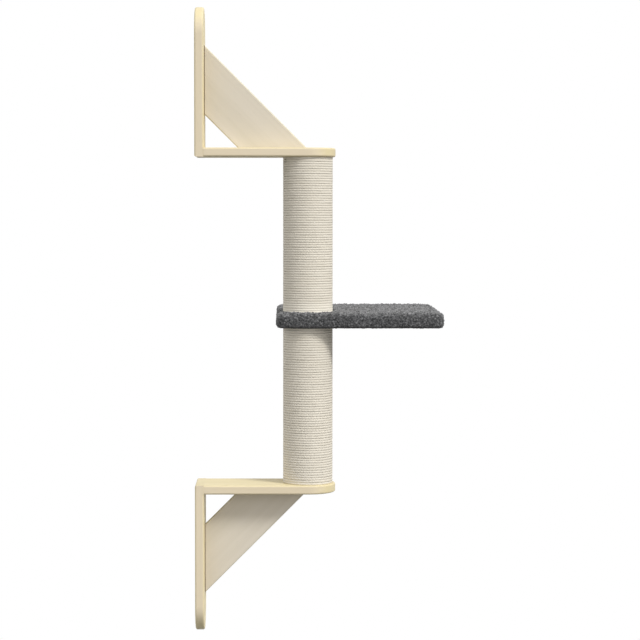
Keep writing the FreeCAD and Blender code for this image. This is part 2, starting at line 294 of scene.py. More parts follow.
def blend_colours(tree, amount, first, second, way="MIX"):
    """The first colour where the amount is 0, and the second, or their product, where it is 1."""
    node = tree.nodes.new("ShaderNodeMix")
    node.data_type = "RGBA"
    node.blend_type = way
    linked(tree, amount, node.inputs["Factor"])
    for socket, colour in zip(MIX_COLOURS_IN, (first, second)):
        linked(tree, colour, node.inputs[socket])
    return node.outputs[MIX_COLOUR_OUT]


def darkened(tree, colour, amount, tone):
    """The colour, and its product with the tone where the amount is 1."""
    return blend_colours(tree, amount, colour, (tone, tone, tone, 1.0), "MULTIPLY")


def bump_from(tree, shader, height, distance, strength):
    node = tree.nodes.new("ShaderNodeBump")
    node.inputs["Distance"].default_value = distance
    node.inputs["Strength"].default_value = strength
    tree.links.new(height, node.inputs["Height"])
    tree.links.new(node.outputs["Normal"], shader.inputs["Normal"])


def srgb(red, green, blue):
    """A colour given as it shows on a screen, from 0 to 255, as linear light."""
    channels = [v / 255 for v in (red, green, blue)]
    return (*[v / 12.92 if v <= 0.04045 else ((v + 0.055) / 1.055) ** 2.4 for v in channels], 1.0)


print("the middle grey of a screen is", round(srgb(128, 128, 128)[0], 3), "of the light of white")

# %% [markdown]
# ## Which way a face looks
# A board isn't the same on all its faces, and it changes close to a cut. Both could be painted on
# the mesh, but nodes can work them out: the surface's normal says which way a face looks, and its
# place says how far it is from a plane.

# %% Helpers that tell the faces apart
FACE_TURNS_BETWEEN = (0.75, 1.0)
PLANE_FADE_SHARE = 0.8


def facing_along(tree, axis, rotation=(0, 0, 0)):
    """1 on faces that look along an axis of the turned object, 0 beside it, -1 against it."""
    turn = tree.nodes.new("ShaderNodeMapping")
    turn.vector_type = "NORMAL"
    turn.inputs["Rotation"].default_value = rotation
    tree.links.new(coordinates(tree, "Normal"), turn.inputs["Vector"])
    return parts_of(tree, turn.outputs["Vector"])[axis]


def square_to(tree, axis, rotation=(0, 0, 0)):
    """1 on faces square to an axis of the turned object, and 0 on faces along it."""
    either_way = calculate(tree, "ABSOLUTE", facing_along(tree, axis, rotation))
    return remap(tree, either_way, *FACE_TURNS_BETWEEN, 0, 1)


def distance_from(tree, axis, place):
    """How far a point is from the plane across an axis at a place."""
    along = parts_of(tree, coordinates(tree, "Object"))[axis]
    return calculate(tree, "ABSOLUTE", calculate(tree, "SUBTRACT", along, place))


def near_planes(tree, planes, reach):
    """1 near any of the planes, given as (axis, place), and 0 beyond the reach."""
    near = 0.0
    for axis, place in planes:
        distance = distance_from(tree, axis, place)
        here = remap(tree, distance, reach * PLANE_FADE_SHARE, reach, 1, 0)
        near = calculate(tree, "MAXIMUM", here, near)
    return near


print("faces count as square to an axis from", FACE_TURNS_BETWEEN[0], "of its direction on")

# %% [markdown]
# ## The boards' finish
# The boards are pale and smooth, with a soft grain that follows the length of each board. A picture
# of wood could be wrapped round them, but it would break at every edge. Noise that is squeezed
# across the board and stretched along it runs through the board as grain does. A slow noise adds
# the tone that drifts over a board, a very narrow one the pores, faces that cut across the grain are a
# little darker, as end grain is, and the broad faces of the shelves and wall boards are yellower
# than the sides towards the end of the object. The braces' ends are cut and eased after the boards
# are coated, and a thin dark brown line runs along each joint there: partly the core that shows at
# the cut, and partly painted shade of the joint.

# %% Board finish
FIBRES = (75, 75, 1.75)
DRIFT = (22, 22, 3)
PORES = (1500, 1500, 60)
COMMON_NOISE = (0.3, 0.7)
FIBRE_SHARE = 0.6
DRIFT_SHARE = 0.4
PORE_NOISE = (0.66, 0.78)
PORE_SHARE = 0.4
PORE_TONE = 0.72
END_GRAIN_TONE = 0.95
BROAD_FACE_TINT = (0.995, 1.0, 0.86, 1.0)
# Dark brown at the braces' ends: partly the board's core, partly painted shade of the joint.
RAW_CORE_AND_JOINT_SHADE = srgb(128, 100, 74)
BRACE_END_EASE = 1.3 * MM
BOARD_ROUGHNESS = (0.5, 0.62)
BOARD_SHINE = 0.3
BOARD_RELIEF = 0.05 * MM
BOARD_RELIEF_STRENGTH = 0.5


def board_finish(name, rotation, pale, dark, raw_and_shaded_planes=()):
    """Grain that runs along Z once the places are turned by rotation."""
    material, tree, shader = new_finish(name, Specular_IOR_Level=BOARD_SHINE)
    fibre = noise_value(tree, object_place(tree, rotation, FIBRES), detail=5.0, roughness=0.6)
    drift = noise_value(tree, object_place(tree, rotation, DRIFT), detail=2.0)
    pores = noise_value(tree, object_place(tree, rotation, PORES), detail=1.0)
    fibre_tone = remap(tree, fibre, *COMMON_NOISE, 0, FIBRE_SHARE)
    drift_tone = remap(tree, drift, *COMMON_NOISE, 0, DRIFT_SHARE)
    colour = blend_colours(tree, calculate(tree, "ADD", fibre_tone, drift_tone), pale, dark)
    colour = darkened(tree, colour, remap(tree, pores, *PORE_NOISE, 0, PORE_SHARE), PORE_TONE)
    colour = darkened(tree, colour, square_to(tree, "Z", rotation), END_GRAIN_TONE)
    broad = calculate(tree, "SUBTRACT", 1.0, square_to(tree, "X"))
    colour = blend_colours(tree, broad, colour, BROAD_FACE_TINT, "MULTIPLY")
    # Near the planes where a brace meets its boards: the core's brown, partly painted shade of the
    # joint.
    if raw_and_shaded_planes:
        colour = blend_colours(tree, near_planes(tree, raw_and_shaded_planes, BRACE_END_EASE), colour, RAW_CORE_AND_JOINT_SHADE)
    linked(tree, colour, shader.inputs["Base Color"])
    linked(tree, remap(tree, fibre, *COMMON_NOISE, *BOARD_ROUGHNESS), shader.inputs["Roughness"])
    height = calculate(tree, "SUBTRACT", fibre, pores)
    bump_from(tree, shader, height, BOARD_RELIEF, BOARD_RELIEF_STRENGTH)
    return material


fibre_width, fibre_length = 1 / FIBRES[0], 1 / FIBRES[2]
print("widest fibres (mm):", round(fibre_width / MM), "by", round(fibre_length / MM))

# %% [markdown]
# Each board needs the grain in its own direction, so the one recipe is used four times: upright for
# the wall boards, outwards for the shelves, and on the slant for the two braces, which are a little
# greyer. A brace meets its wall board and its shelf at two planes, which its box gives.

# %% Finish the six boards
BOARD_PALE = srgb(229, 215, 188)
BOARD_DARK = srgb(218, 203, 173)
BRACE_PALE = srgb(220, 211, 195)
BRACE_DARK = srgb(210, 201, 183)
QUARTER_TURN = math.radians(90)
EIGHTH_TURN = math.radians(45)


def give_finish(material, *nodes):
    """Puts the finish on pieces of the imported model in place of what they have."""
    for node in nodes:
        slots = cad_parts[node].data.materials
        slots.clear()
        slots.append(material)


upright = board_finish("board_upright", (0, 0, 0), BOARD_PALE, BOARD_DARK)
outward = board_finish("board_outward", (QUARTER_TURN, 0, 0), BOARD_PALE, BOARD_DARK)
give_finish(upright, "upper_wall_board", "lower_wall_board")
give_finish(outward, "upper_shelf_board", "lower_shelf_board")

upper_low, upper_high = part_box("upper_brace")
lower_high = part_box("lower_brace")[1]
upper_ends = (("Y", upper_high.y), ("Z", upper_low.z))
lower_ends = (("Y", lower_high.y), ("Z", lower_high.z))
slant_down = board_finish("brace_slant_down", (EIGHTH_TURN, 0, 0), BRACE_PALE, BRACE_DARK, upper_ends)
slant_up = board_finish("brace_slant_up", (-EIGHTH_TURN, 0, 0), BRACE_PALE, BRACE_DARK, lower_ends)
give_finish(slant_down, "upper_brace")
give_finish(slant_up, "lower_brace")
print("boards finished: 6, the upper shelf's top lies at", round(upper_low.z / MM), "mm")

# %% [markdown]
# ## The parts inside and the steel
# Tubes, plugs and dowels only show where something is taken apart, but they still get what they are
# made of: grey-brown card, chipboard with its chips, and plain beech. The steel is zinc plated, with
# a fine unevenness in its shine. All four are specks of two tones, so they share one recipe.

# %% Card, chipboard, beech and steel
CARD_LIGHT = srgb(178, 152, 120)
CARD_DARK = srgb(150, 124, 94)
CHIP_LIGHT = srgb(205, 180, 142)
CHIP_DARK = srgb(150, 118, 82)
BEECH_LIGHT = srgb(222, 190, 150)
BEECH_DARK = srgb(202, 166, 124)
ZINC = srgb(196, 196, 192)
ZINC_DULL = srgb(168, 168, 166)
SPECK_NOISE = (0.35, 0.65)
ROUGHNESS_SPREAD = 0.12
SPECK_RELIEF = 0.1 * MM
SPECK_RELIEF_STRENGTH = 0.4


def speckled_finish(name, light, dark, per_metre, stretch=(1, 1, 1), roughness=0.8, metallic=0.0):
    material, tree, shader = new_finish(name, Metallic=metallic)
    place = object_place(tree, scale=stretch)
    specks = noise_value(tree, place, per_metre, detail=4.0, roughness=0.65)
    colour = blend_colours(tree, remap(tree, specks, *SPECK_NOISE, 0, 1), light, dark)
    linked(tree, colour, shader.inputs["Base Color"])
    smoother, rougher = roughness - ROUGHNESS_SPREAD, roughness + ROUGHNESS_SPREAD
    linked(tree, remap(tree, specks, *COMMON_NOISE, smoother, rougher), shader.inputs["Roughness"])
    bump_from(tree, shader, specks, SPECK_RELIEF, SPECK_RELIEF_STRENGTH)
    return material


def both(name):
    return ["upper_" + name, "lower_" + name]


card = speckled_finish("tube_card", CARD_LIGHT, CARD_DARK, 90, stretch=(1, 1, 4))
chipboard = speckled_finish("chipboard", CHIP_LIGHT, CHIP_DARK, 260)
beech = speckled_finish("beech", BEECH_LIGHT, BEECH_DARK, 300, stretch=(1, 0.1, 0.1), roughness=0.6)
steel = speckled_finish("zinc_steel", ZINC, ZINC_DULL, 700, roughness=0.34, metallic=1.0)
give_finish(card, *both("post_tube"))
give_finish(chipboard, "platform_board", *both("post_outer_plug"), *both("post_inner_plug"))
give_finish(beech, *both("corner_dowels"), *both("brace_dowels"))
give_finish(steel, *both("corner_screws"), *both("brace_screws"), *both("post_screws"))
give_finish(steel, *both("barrel_nut"), *both("tube_nails"), *both("rope_staples"))
give_finish(steel, "centre_stud", "cover_staples")
print("inner parts and steel finished")

# %% [markdown]
# ## The sisal winding
# Each post is wound with one long rope, turn against turn. It could be faked by stripes on a
# cylinder, but then the outline would stay straight and the furrows would have no shade. So the
# winding is a real tube. Its turns lie level on the sides that are seen, and each one steps up to
# the next on the side of the wall, where the ends are stapled too. The turns wander a little, as on
# a rope that was wound by hand.

# %% The rope's course
ROPE_TURNS = 64
STEPS_PER_TURN = 100
LEVEL_SHARE = 0.72
END_SHARE = 0.85
NOISE_ROW = 0.5
NOISE_GAIN = 2


def climb(turns):
    """Turns climbed after so many turns wound: level first, then one smooth step up."""
    whole = np.floor(turns)
    step = np.clip((turns - whole - LEVEL_SHARE) / (1 - LEVEL_SHARE), 0, 1)
    return whole + step * step * (3 - 2 * step)


def slow_random(along, period, seed):
    """A slow random value for each place along the rope, from about -1 to 1."""
    spots = [Vector((place / period, seed, NOISE_ROW)) for place in along]
    return np.array([noise.noise(spot) * NOISE_GAIN for spot in spots])


first_turn = -(1 - LEVEL_SHARE) * END_SHARE
last_turn = ROPE_TURNS - 1 + LEVEL_SHARE + (1 - LEVEL_SHARE) * END_SHARE
turns_wound = np.linspace(first_turn, last_turn, round((last_turn - first_turn) * STEPS_PER_TURN))
print("turns from end to end:", round(last_turn - first_turn, 2))

# %% [markdown]
# A curve with a round bevel would make the tube too, but its section would stay a circle, and its
# map would not be as even. So the tube is made from rings of points. It carries a map whose first
# axis runs along the rope and whose second runs round it, so that the finish can follow the
# twisted strands.

# %% A tube with a map
ROPE_MAP = "rope_map"


def tube_faces(rings, sides):
    """The quads between neighbouring rings: which ring and side each starts at, and its corners."""
    ring, side = np.meshgrid(np.arange(rings - 1), np.arange(sides), indexing="ij")
    next_side = (side + 1) % sides
    near, far = ring * sides, (ring + 1) * sides
    corners = np.stack([near + side, near + next_side, far + next_side, far + side], axis=2)
    return ring, side, corners.reshape(-1, 4).tolist()


def tube_mesh(name, points, along):
    """A closed tube through rings of points, with a map that runs along and round it."""
    rings, sides = points.shape[:2]
    ring, side, faces = tube_faces(rings, sides)
    first_cap = list(range(sides))[::-1]
    last_cap = list(range((rings - 1) * sides, rings * sides))
    mesh = bpy.data.meshes.new(name)
    mesh.from_pydata(points.reshape(-1, 3).tolist(), [], faces + [first_cap, last_cap])
    run = np.stack([along[ring], along[ring], along[ring + 1], along[ring + 1]], axis=2)
    turn = np.stack([side, side + 1, side + 1, side], axis=2) / sides
    corners = np.stack([run, turn], axis=3).reshape(-1, 2)
    cap_corners = np.zeros((2 * sides, 2))
    layer = mesh.uv_layers.new(name=ROPE_MAP)
    values = np.concatenate([corners, cap_corners]).astype(np.float32)
    layer.uv.foreach_set("vector", values.ravel())
    mesh.polygons.foreach_set("use_smooth", [True] * len(mesh.polygons))
    mesh.update()
    return mesh


print("rings along each rope:", len(turns_wound))

# %% [markdown]
# Round the course goes a cross-section that is a little squarer than a circle, because tight turns
# press each other flat. The rope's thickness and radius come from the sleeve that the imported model
# keeps for it, and both ends of the winding are pressed flat against what they meet, so that no gap
# is left. The lower rope's last turn sinks into the plush over it.

# %% Wind both posts
ROPE_SIDES = 12
SQUARENESS = 6.0
HOME_ANGLE = QUARTER_TURN
TURN_WANDER = 0.09 * MM
WANDER_PERIOD = 31 * MM
THICKNESS_CHANGE = 0.018
THICKNESS_PERIOD = 12 * MM
THICKNESS_SEED_STEP = 7
UPPER_SEED = 3.0
LOWER_SEED = 11.0
END_GAP = 0.05 * MM
SUNK_INTO_PLUSH = 1.8 * MM


def pressed_round(angles):
    """Points of a circle whose sides are pressed a little flat, as (outwards, upwards)."""
    power = 2 / SQUARENESS
    outwards, upwards = np.cos(angles), np.sin(angles)
    return np.sign(outwards) * np.abs(outwards) ** power, np.sign(upwards) * np.abs(upwards) ** power


def wound_rope(name, node, tube_node, seed, sunk=0.0):
    """One rope from foot to top of a post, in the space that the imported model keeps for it.

    Its top may sink a little into the plush above."""
    low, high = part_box(node)
    high.z += sunk
    tube_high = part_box(tube_node)[1]
    middle = (low + high) / 2
    thickness = high.y - tube_high.y
    radius = (high.y - low.y) / 2 - thickness / 2
    pitch = (high.z - low.z) / ROPE_TURNS
    angle = HOME_ANGLE + turns_wound * 2 * math.pi
    along = (turns_wound - turns_wound[0]) * 2 * math.pi * radius
    wander = slow_random(along, WANDER_PERIOD, seed) * TURN_WANDER
    level = low.z + (climb(turns_wound) + 0.5) * pitch + wander
    swelling = THICKNESS_CHANGE * slow_random(along, THICKNESS_PERIOD, seed + THICKNESS_SEED_STEP)
    half = thickness / 2 * (1 + swelling)
    outwards, upwards = pressed_round(np.linspace(0, 2 * math.pi, ROPE_SIDES, endpoint=False))
    reach = radius + half[:, None] * outwards
    height = level[:, None] + half[:, None] * (pitch / thickness) * upwards
    x = middle.x + reach * np.cos(angle)[:, None]
    y = middle.y + reach * np.sin(angle)[:, None]
    z = np.clip(height, low.z + END_GAP, high.z - END_GAP)
    rope = bpy.data.objects.new(name, tube_mesh(name, np.stack([x, y, z], axis=2), along))
    bpy.context.scene.collection.objects.link(rope)
    print(name, "pitch (mm):", round(pitch / MM, 2), "length (m):", round(float(along[-1]), 2))
    return rope


upper_rope = wound_rope("upper_sisal_winding", "upper_post_rope", "upper_post_tube", UPPER_SEED)
lower_rope = wound_rope(
    "lower_sisal_winding", "lower_post_rope", "lower_post_tube", LOWER_SEED, SUNK_INTO_PLUSH)
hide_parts("upper_post_rope")
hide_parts("lower_post_rope")

# %% [markdown]
# The rope has three strands that twist round each other. They could be modelled one by one, but
# from a step away they are only a faint slant, so the finish draws them. On the map they are slanted
# stripes: a value that grows both along the rope and round it, folded three times per round. The
# stripes lift the surface, their furrows get painted shade, and narrow noise stands for the fibres.
# The rope also gets darker round its sides, as painted shade between two turns. Near the foot of the
# upper post the rope is painted paler, as painted light that the platform throws back.

# %% Sisal finish
SISAL_PALE = srgb(230, 223, 209)
# Painted shade for the furrows between the strands.
SISAL_DARK = srgb(215, 207, 190)
SISAL_FURROW_SHADE = srgb(190, 181, 162)
# Painted shade for the sides of each turn, where it meets the next.
SISAL_VALLEY_SHADE = srgb(152, 143, 124)
# Painted light: the paler tone near the upper post's foot stands for light thrown back by the
# platform.
SISAL_PAINTED_BOUNCE = srgb(248, 242, 228)
STRANDS = 3
LAY_LENGTH = 15 * MM
STRAND_ROUNDNESS = 0.5
STRAND_FURROW_BETWEEN = (0.0, 0.5)
STRAND_FURROW_SHADE_SHARE = 0.3
SISAL_FIBRES = (250, 250, 2500)
SISAL_FIBRE_NOISE = (0.3, 0.75)
SISAL_FIBRE_SHARE = 0.6
SISAL_FIBRE_HEIGHT = 0.5
SISAL_DRIFT = (30, 30, 120)
SISAL_DRIFT_NOISE = (0.4, 0.7)
SISAL_DRIFT_SHARE = 0.4
VALLEY_BETWEEN = (0.08, 0.15)
VALLEY_SHADE_SHARE = 0.42
PAINTED_BOUNCE_BETWEEN = (3 * MM, 25 * MM)
PAINTED_BOUNCE_SHARE = 0.65
SISAL_RELIEF = 0.3 * MM
SISAL_RELIEF_STRENGTH = 0.45


def folded(tree, value):
    """0 at each whole number, and up to 0.5 halfway to the next."""
    return calculate(tree, "PINGPONG", value, 0.5)


def strand_height(tree, along, around):
    """0 in the furrow between two strands, and 1 on a strand's back."""
    rounds = calculate(tree, "MULTIPLY", along, 1 / LAY_LENGTH)
    twist = calculate(tree, "MULTIPLY", calculate(tree, "ADD", rounds, around), STRANDS)
    across = calculate(tree, "MULTIPLY", folded(tree, twist), 2.0)
    return calculate(tree, "POWER", across, STRAND_ROUNDNESS)


def sisal_finish():
    material, tree, shader = new_finish("sisal_rope", Roughness=0.85)
    mapped = tree.nodes.new("ShaderNodeUVMap")
    mapped.uv_map = ROPE_MAP
    on_map = parts_of(tree, mapped.outputs["UV"])
    strand = strand_height(tree, on_map["X"], on_map["Y"])
    fibre = noise_value(tree, object_place(tree, scale=SISAL_FIBRES), roughness=0.7)
    drift = noise_value(tree, object_place(tree, scale=SISAL_DRIFT), detail=2.0)
    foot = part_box("upper_post_rope")[0].z
    layers = (
        (remap(tree, drift, *SISAL_DRIFT_NOISE, 0, SISAL_DRIFT_SHARE), SISAL_DARK),
        # Painted shade in the furrows between strands.
        (remap(tree, strand, *STRAND_FURROW_BETWEEN, STRAND_FURROW_SHADE_SHARE, 0), SISAL_FURROW_SHADE),
        # Painted shade round the rope's sides, between two turns.
        (remap(tree, folded(tree, on_map["Y"]), *VALLEY_BETWEEN, 0, VALLEY_SHADE_SHARE), SISAL_VALLEY_SHADE),
        # Painted light near the upper post's foot, as light thrown back by the platform.
        (remap(tree, distance_from(tree, "Z", foot), *PAINTED_BOUNCE_BETWEEN, PAINTED_BOUNCE_SHARE, 0), SISAL_PAINTED_BOUNCE),
    )
    fibre_amount = remap(tree, fibre, *SISAL_FIBRE_NOISE, 0, SISAL_FIBRE_SHARE)
    colour = blend_colours(tree, fibre_amount, SISAL_PALE, SISAL_DARK)
    for amount, layer in layers:
        colour = blend_colours(tree, amount, colour, layer)
    linked(tree, colour, shader.inputs["Base Color"])
    fuzz = calculate(tree, "MULTIPLY", fibre, SISAL_FIBRE_HEIGHT)
    height = calculate(tree, "ADD", strand, fuzz)
    bump_from(tree, shader, height, SISAL_RELIEF, SISAL_RELIEF_STRENGTH)
    return material


sisal = sisal_finish()
for rope in (upper_rope, lower_rope):
    rope.data.materials.append(sisal)
    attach(rope, "root")
    print(rope.name, "is finished and has", len(rope.data.polygons), "faces")

# %% [markdown]
# ## The plush platform
# The platform is a board in a tight plush cover. The cover wraps the top and the sides, and its hem is
# turned under the board and stapled. A second, smaller piece closes the underside inside the hem.
# Both are stretched flat and have no free folds, so cloth simulation has nothing to do here. They
# are laid out as rectangles of a fine grid that share their border points, like a box's net, and
# are then rounded and roughened point by point. The grid is laid between stops, the places along
# each axis where one rectangle ends and the next begins.

# %% A net of rectangles
GRID = 1.4 * MM


def grid_lines(stops):
    """Places between the stops, about one grid step apart, with the stops among them."""
    places = [stops[0]]
    for start, end in zip(stops, stops[1:]):
        count = max(1, round((end - start) / GRID))
        places += [start + (end - start) * step / count for step in range(1, count + 1)]
    return np.array(places)


class Net:
    """Rectangles of grid cells on planes across X, Y or Z, which share the points where they meet."""

    def __init__(self, stops):
        self.stops = stops
        self.lines = [grid_lines(values) for values in stops]
        self.points = {}
        self.faces = []

    def index(self, axis, stop):
        """The grid line at a stop."""
        return int(np.argmin(np.abs(self.lines[axis] - self.stops[axis][stop])))

    def point(self, axis, fixed, i, j):
        """The number of a point on a plane across axis, which is new only when first asked for."""
        key = [0, 0, 0]
        key[axis], key[(axis + 1) % 3], key[(axis + 2) % 3] = fixed, i, j
        return self.points.setdefault(tuple(key), len(self.points))

    def rectangle(self, axis, at, u_stops, v_stops, outward):
        """Cells on the plane at a stop of axis, between stops of the next two axes in turn."""
        u, v = (axis + 1) % 3, (axis + 2) % 3
        fixed = self.index(axis, at)
        for i in range(self.index(u, u_stops[0]), self.index(u, u_stops[1])):
            for j in range(self.index(v, v_stops[0]), self.index(v, v_stops[1])):
                corners = ((i, j), (i + 1, j), (i + 1, j + 1), (i, j + 1))
                ring = [self.point(axis, fixed, *corner) for corner in corners]
                self.faces.append(ring if outward > 0 else ring[::-1])

    def places(self):
        keys = np.array(list(self.points))
        return np.stack([self.lines[axis][keys[:, axis]] for axis in range(3)], axis=1)


print("a grid step is", GRID / MM, "mm")

# %% [markdown]
# The cover has four stops across and four outwards: its two sides, and the two sides of the opening
# inside its hem. Its three stops in height are its underside, the board's underside and its top.
# Edges that meet the board are turned up to it, so that neither piece ends as a sheet of paper.

# %% Lay out the cover and the panel
ACROSS, OUT, UP = 0, 1, 2
cover_low, cover_high = (np.array(corner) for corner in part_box("plush_top_cover"))
panel_low, panel_high = (np.array(corner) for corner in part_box("plush_bottom_panel"))


def cover_net():
    """Top, four sides, the hem as a frame under the board, and its edge turned up to the board."""
    net = Net([
        [cover_low[0], panel_low[0], panel_high[0], cover_high[0]],
        [cover_low[1], panel_low[1], panel_high[1], cover_high[1]],
        [cover_low[2], panel_high[2], cover_high[2]],
    ])
    net.rectangle(UP, 2, (0, 3), (0, 3), 1)
    for end, outward in ((0, -1), (3, 1)):
        net.rectangle(ACROSS, end, (0, 3), (0, 2), outward)
        net.rectangle(OUT, end, (0, 2), (0, 3), outward)
    for first in (0, 2):
        net.rectangle(UP, 0, (first, first + 1), (0, 3), -1)
        net.rectangle(UP, 0, (1, 2), (first, first + 1), -1)
    for side, outward in ((1, 1), (2, -1)):
        net.rectangle(ACROSS, side, (1, 2), (0, 1), outward)
        net.rectangle(OUT, side, (0, 1), (1, 2), outward)
    return net


def panel_net():
    """The underside's own piece, with its edge turned up to the board."""
    net = Net([[panel_low[axis], panel_high[axis]] for axis in range(3)])
    net.rectangle(UP, 0, (0, 1), (0, 1), -1)
    for end, outward in ((0, -1), (1, 1)):
        net.rectangle(ACROSS, end, (0, 1), (0, 1), outward)
        net.rectangle(OUT, end, (0, 1), (0, 1), outward)
    return net


cover_layout, panel_layout = cover_net(), panel_net()
print("points of the cover and the panel:", len(cover_layout.points), len(panel_layout.points))

# %% [markdown]
# Tight plush has no sharp edge. A bevel would round it, but it would spoil the even grid that the
# tufts need, so the outer points are drawn in instead. That is done twice: in plan, so that the four
# corners turn round, and in height, so that the long edges do. The edge of the hem and the edge of
# the panel get a small round of their own, which leaves the fine furrow where they meet.

# %% Round the corners and edges
PLAN_CORNER = 15 * MM
EDGE_ROUND = 11 * MM
LOWER_EDGE_ROUND = 7.5 * MM
SEAM_ROUND = 3 * MM
SEAM_RISE_SHARE = 0.6
TINY = 1e-9


def plan_rounded(points, low, high, corner):
    """Turns the square corners of the plan round, and gives each point's depth from the outline."""
    inner = np.clip(points[:, :2], low[:2] + corner, high[:2] - corner)
    offset = points[:, :2] - inner
    reach = np.abs(offset).max(axis=1)
    length = np.maximum(np.hypot(offset[:, 0], offset[:, 1]), TINY)
    direction = offset / length[:, None]
    points[:, :2] = inner + direction * reach[:, None]
    return direction, corner - reach


def edge_rounded(points, direction, depth, height_left, radius, upward):
    """Draws the points near an edge onto a round of the radius, by depth in plan and height left."""
    near = (depth < radius) & (height_left < radius)
    into = np.stack([radius - depth[near], radius - height_left[near]], axis=1)
    length = np.maximum(np.hypot(into[:, 0], into[:, 1]), TINY)
    onto = into * (into.max(axis=1) / length)[:, None]
    moved = into - onto
    points[near, :2] -= direction[near] * moved[:, :1]
    points[near, 2] -= upward * moved[:, 1]


def rounded_cover(points):
    direction, depth = plan_rounded(points, cover_low, cover_high, PLAN_CORNER)
    edge_rounded(points, direction, depth, cover_high[2] - points[:, 2], EDGE_ROUND, 1)
    edge_rounded(points, direction, depth, points[:, 2] - cover_low[2], LOWER_EDGE_ROUND, -1)
    plan = points[:, :2]
    from_panel = np.maximum(panel_low[:2] - plan, plan - panel_high[:2]).max(axis=1)
    at_seam = (from_panel < SEAM_ROUND) & (points[:, 2] < cover_low[2] + SEAM_ROUND)
    into = np.clip(1 - from_panel[at_seam] / SEAM_ROUND, 0, 1)
    points[at_seam, 2] += SEAM_ROUND * (1 - np.sqrt(1 - into**2)) * SEAM_RISE_SHARE
    return points


def rounded_panel(points):
    direction, depth = plan_rounded(points, panel_low, panel_high, SEAM_ROUND)
    edge_rounded(points, direction, depth, points[:, 2] - panel_low[2], SEAM_ROUND, -1)
    return points


cover_places = rounded_cover(cover_layout.places())
panel_places = rounded_panel(panel_layout.places())
print("cover's width after rounding (mm):", round(float(np.ptp(cover_places[:, 0])) / MM, 1))

# %% [markdown]
# The pile stands up in small tufts, and the tufts lean together in clumps. Particle hair could make
# every fibre, but there would be far too many of them, and an exported model loses them. So tufts
# and clumps are lifts along the surface's own direction. Random cells a few millimetres wide are the
# tufts: each has its own height and sinks towards its border, and slower noise makes the clumps.

# %% Tufts and clumps
TUFT_SPACING = 4.3 * MM
TUFT_LOW = 0.7 * MM
TUFT_TALL = 3.0 * MM
TUFT_FOOT = 1.6 * MM
TUFT_SLOPE = 0.5
TALLNESS_DRAW = 7.3
SHADE_DRAW = 11.9
CLUMP_SPACING = 10 * MM
CLUMP_HEIGHT = 0.7 * MM


def pile_at(place):
    """Lift of the pile at a place, how far that is from the tuft's border, and the tuft's shade."""
    distances, centres = noise.voronoi(place / TUFT_SPACING)
    tallness = (noise.cell(centres[0] * TALLNESS_DRAW) + 1) / 2
    shade = (noise.cell(centres[0] * SHADE_DRAW) + 1) / 2
    from_border = min(1.0, (distances[1] - distances[0]) / TUFT_SLOPE)
    height = TUFT_LOW + (TUFT_TALL - TUFT_LOW) * tallness
    clump = noise.noise(place / CLUMP_SPACING) * CLUMP_HEIGHT
    return height * from_border - TUFT_FOOT + clump, from_border, shade


sample_lift = pile_at(Vector(cover_places[0]))[0]
print("lift of the pile at the cover's first point (mm):", round(sample_lift / MM, 2))

# %% [markdown]
# The pile isn't the same all round. On top it is lofty, and under the posts it is pressed flat, with
# a squeezed ring round the upper one's foot. On the side of the wall it is short, and on the
# underside it is short and even, and drawn up tight. Each point also keeps two numbers for the
# finish: how far it is from its tuft's border, and the tuft's own shade. Along the lower fold every
# point counts as border, so the furrows' painted shade runs along it as a dark line.

# %% Raise the pile
UNDERSIDE_SHARE = 0.3
LOFT = 2.0 * MM
SHORTER_AT_WALL = 1.2 * MM
# Normals pointing this far down mark the lower fold, which gets painted shade.
LOWER_FOLD_PAINTED_SHADE = (-0.99, -0.45)
FLAT = 0.9
PRESSED_DEPTH = 0.5 * MM
SQUEEZED_HEIGHT = 1.4 * MM
SQUEEZED_WIDTH = 4 * MM


def numbers_of(collection, name):
    values = np.empty(len(collection) * 3)
    collection.foreach_get(name, values)
    return values.reshape(-1, 3)


def distance_from_post(places):
    """How far each place is outside a post in plan, and below 0 under or over it."""
    post_low, post_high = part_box("upper_post_rope")
    middle = (post_low + post_high) / 2
    from_axis = np.hypot(places[:, 0] - middle.x, places[:, 1] - middle.y)
    return from_axis - (post_high.x - middle.x)


def pile_raised(mesh):
    """Lifts each point along its normal by the pile, and keeps what the finish needs."""
    places, normals = numbers_of(mesh.vertices, "co"), numbers_of(mesh.vertex_normals, "vector")
    lift, from_border, shade = np.array([pile_at(Vector(place)) for place in places]).T
    towards_wall, upwards = normals[:, 1], normals[:, 2]
    lift *= UNDERSIDE_SHARE + (1 - UNDERSIDE_SHARE) * np.clip(1 + upwards, 0, 1)
    lift += LOFT * upwards - SHORTER_AT_WALL * np.clip(towards_wall, 0, 1)
    # The lower fold counts as all border, which paints shade along it.
    from_border[(upwards > LOWER_FOLD_PAINTED_SHADE[0]) & (upwards < LOWER_FOLD_PAINTED_SHADE[1])] = 0
    from_post = distance_from_post(places)
    on_top, at_post = upwards > FLAT, from_post < 0
    lift += on_top * SQUEEZED_HEIGHT * np.exp(-np.abs(from_post) / SQUEEZED_WIDTH)
    lift[at_post & on_top] = -PRESSED_DEPTH
    lift[at_post & (upwards < -FLAT)] = -LOFT
    mesh.vertices.foreach_set("co", (places + normals * lift[:, None]).ravel())
    for name, values in (("from_border", from_border), ("tuft_shade", shade)):
        numbers = mesh.attributes.new(name, "FLOAT", "POINT").data
        numbers.foreach_set("value", values.astype(np.float32))
    mesh.update()


def plush_piece(name, places, faces):
    mesh = bpy.data.meshes.new(name)
    mesh.from_pydata(places.tolist(), [], faces)
    mesh.polygons.foreach_set("use_smooth", [True] * len(mesh.polygons))
    mesh.update()
    pile_raised(mesh)
    piece = bpy.data.objects.new(name, mesh)
    bpy.context.scene.collection.objects.link(piece)
    print(name, "faces:", len(mesh.polygons))
    return piece


cover = plush_piece("plush_cover", cover_places, cover_layout.faces)
panel = plush_piece("plush_underside", panel_places, panel_layout.faces)
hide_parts("plush_top_cover")
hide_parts("plush_bottom_panel")
